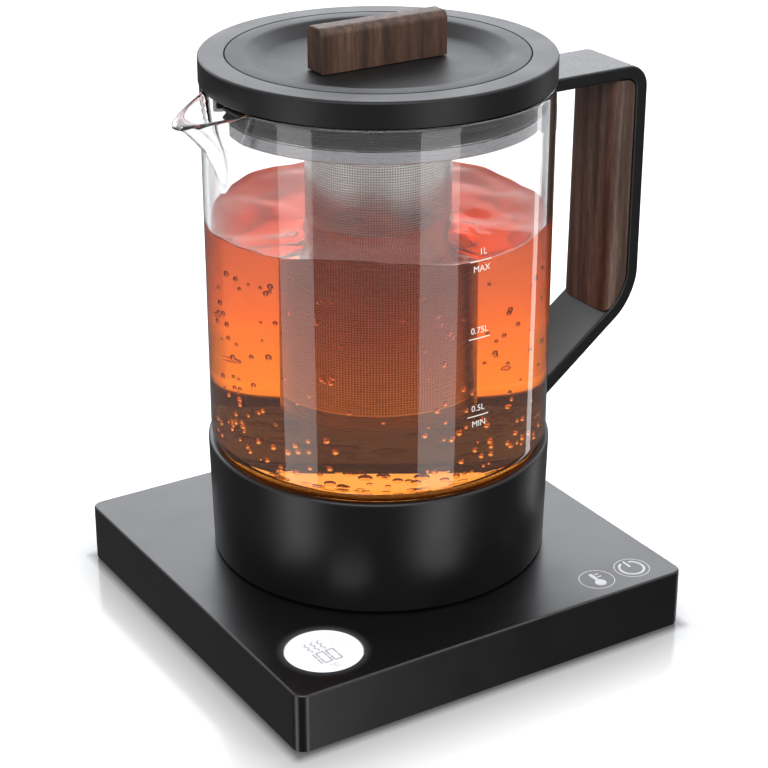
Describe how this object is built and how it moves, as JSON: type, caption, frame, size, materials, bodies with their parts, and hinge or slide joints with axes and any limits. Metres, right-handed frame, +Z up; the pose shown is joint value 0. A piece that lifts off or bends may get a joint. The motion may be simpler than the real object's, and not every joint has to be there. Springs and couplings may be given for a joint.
{
  "type": "electric tea kettle",
  "caption": "Glass jug with a strap handle and wooden grip on a square heated base, with a wide pulled spout, a round lid with a wooden knob and a hanging perforated infuser.",
  "frame": {"origin": "on the table, in the middle of the footprint's bounding box", "axes": "+Z up, handle towards +X, spout towards -X, display and touch keys on the -Y side of the base"},
  "size_m": [0.177, 0.1502, 0.2041],
  "materials": {
    "base_black": "satin black, fine moulded grain",
    "inner_black": "matt black, moulded",
    "lid_black": "satin dark grey, moulded",
    "strap_black": "semi-gloss black, moulded",
    "rubber_black": "matt moulded rubber",
    "silicone_seal": "matt silicone",
    "clear_glass": "clear, fire-polished rim",
    "walnut_grip": "oiled walnut, grain along the bar",
    "walnut_knob": "oiled walnut, grain upright",
    "steel": "brushed or drawn stainless steel",
    "contact_brass": "plated spring brass",
    "board_green": "green solder mask on glass-fibre board",
    "display_white": "white diffuser, lit from below"
  },
  "bodies": {
    "base": {"base_housing": "base_black", "base_bottom_cover": "inner_black", "foot_rear_right": "rubber_black", "foot_rear_left": "rubber_black", "foot_front_left": "rubber_black", "foot_front_right": "rubber_black", "base_cover_screw_1": "steel", "base_cover_screw_2": "steel", "base_cover_screw_3": "steel", "base_cover_screw_4": "steel", "base_connector": "inner_black", "base_contact_ring": "contact_brass", "base_contact_tube": "contact_brass", "control_board": "board_green", "power_board": "board_green", "touch_sensor_temperature": "contact_brass", "touch_sensor_power": "contact_brass", "display_lens": "display_white", "display_module": "display_white", "cord_gland": "rubber_black"},
    "jug": {"jug_base_shell": "base_black", "jug_base_cover": "inner_black", "jug_cover_screw_1": "steel", "jug_cover_screw_2": "steel", "jug_cover_screw_3": "steel", "jug_connector": "inner_black", "jug_contact_ring": "contact_brass", "jug_contact_pin": "contact_brass", "temperature_sensor": "steel", "heating_element": "steel", "heater_plate": "steel", "floor_seal": "silicone_seal", "glass_body": "clear_glass", "handle_bracket": "strap_black", "handle_strap": "strap_black", "handle_grip": "walnut_grip", "bracket_screw": "steel", "grip_screw_upper": "steel", "grip_screw_lower": "steel", "handle_foot_screw_1": "steel", "handle_foot_screw_2": "steel"},
    "lid": {"lid_ring": "lid_black", "lid_seal": "silicone_seal", "lid_band": "steel"},
    "infuser": {"infuser_funnel": "steel", "infuser_sleeve": "steel", "infuser_base": "steel"},
    "cover": {"lid_cover": "lid_black", "lid_knob": "walnut_knob", "knob_screw_1": "steel", "knob_screw_2": "steel"}
  },
  "joints": [
    {"name": "jug_lift", "type": "slide", "parent": "base", "child": "jug", "axis": [0, 0, 1], "range_m": [0, 0.05]},
    {"name": "lid_lift", "type": "slide", "parent": "jug", "child": "lid", "axis": [0, 0, 1], "range_m": [0, 0.12]},
    {"name": "infuser_lift", "type": "slide", "parent": "lid", "child": "infuser", "axis": [0, 0, 1], "range_m": [0, 0.125]},
    {"name": "cover_lift", "type": "slide", "parent": "infuser", "child": "cover", "axis": [0, 0, 1], "range_m": [0, 0.04]}
  ]
}
